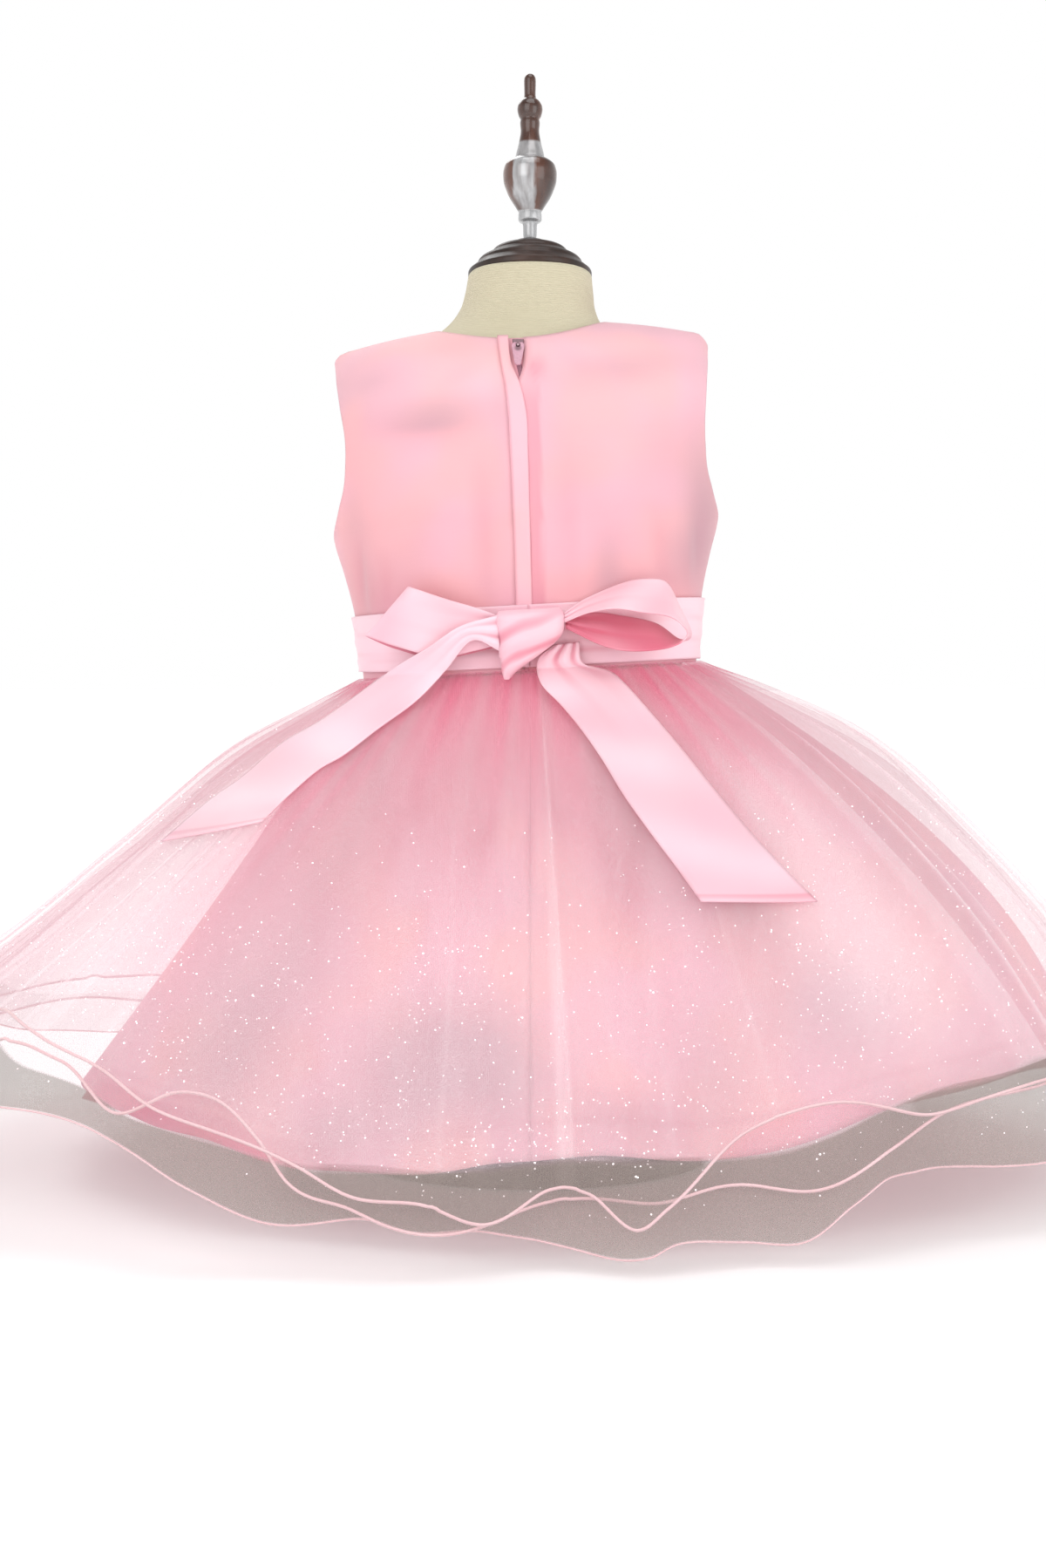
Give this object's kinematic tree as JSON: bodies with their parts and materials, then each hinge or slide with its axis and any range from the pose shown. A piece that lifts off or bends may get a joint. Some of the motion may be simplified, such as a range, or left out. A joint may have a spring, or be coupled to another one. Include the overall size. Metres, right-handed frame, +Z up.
{
  "type": "toddler party dress on dress form",
  "caption": "Sleeveless pale-pink satin toddler party dress with a tied sash and layered glitter net over a flared skirt, on a linen dress form with a dark wooden cap and finial.",
  "frame": {"origin": "centre of the stand base's underside, on the form's axis", "axes": "+Z up along the form's axis, -Y towards the back of the dress with its zip and bow, +X towards the wearer's right"},
  "size_m": [0.8273, 0.704, 0.7115],
  "materials": {
    "pink_satin": "satin",
    "deep_pink_satin": "satin",
    "pink_net": "matte",
    "hem_cord": "satin",
    "mauve_zip_metal": "gloss",
    "linen": "matte",
    "dark_wood": "satin",
    "varnished_wood": "gloss"
  },
  "bodies": {
    "dress": {"bodice_front": "pink_satin", "bodice_back_left": "pink_satin", "bodice_back_right": "pink_satin", "zip_tape": "deep_pink_satin", "zip_welt": "pink_satin", "zip_slider": "mauve_zip_metal", "sash_front": "pink_satin", "sash_back_left": "pink_satin", "sash_back_right": "pink_satin", "bow_knot": "pink_satin", "bow_loop_left": "pink_satin", "bow_loop_right": "pink_satin", "bow_tail_left": "pink_satin", "bow_tail_right": "pink_satin", "satin_skirt_front": "pink_satin", "satin_skirt_back_left": "pink_satin", "satin_skirt_back_right": "pink_satin", "net_outer_back": "pink_net", "net_outer_front": "pink_net", "net_outer_hem": "hem_cord", "net_middle_back": "pink_net", "net_middle_front": "pink_net", "net_middle_hem": "hem_cord", "net_inner_back": "pink_net", "net_inner_front": "pink_net", "net_inner_hem": "hem_cord", "form_torso": "linen", "form_neck_cap": "dark_wood", "form_finial": "varnished_wood", "stand_pole": "dark_wood", "stand_base": "dark_wood"},
    "pull_tab": {"zip_pull_tab": "mauve_zip_metal"}
  },
  "joints": [
    {"name": "pull_tab_swing", "type": "hinge", "parent": "dress", "child": "pull_tab", "pos_m": [-0.00752, -0.06464, 0.52184], "axis": [-1, 0, 0], "range_deg": [0, 160]}
  ]
}
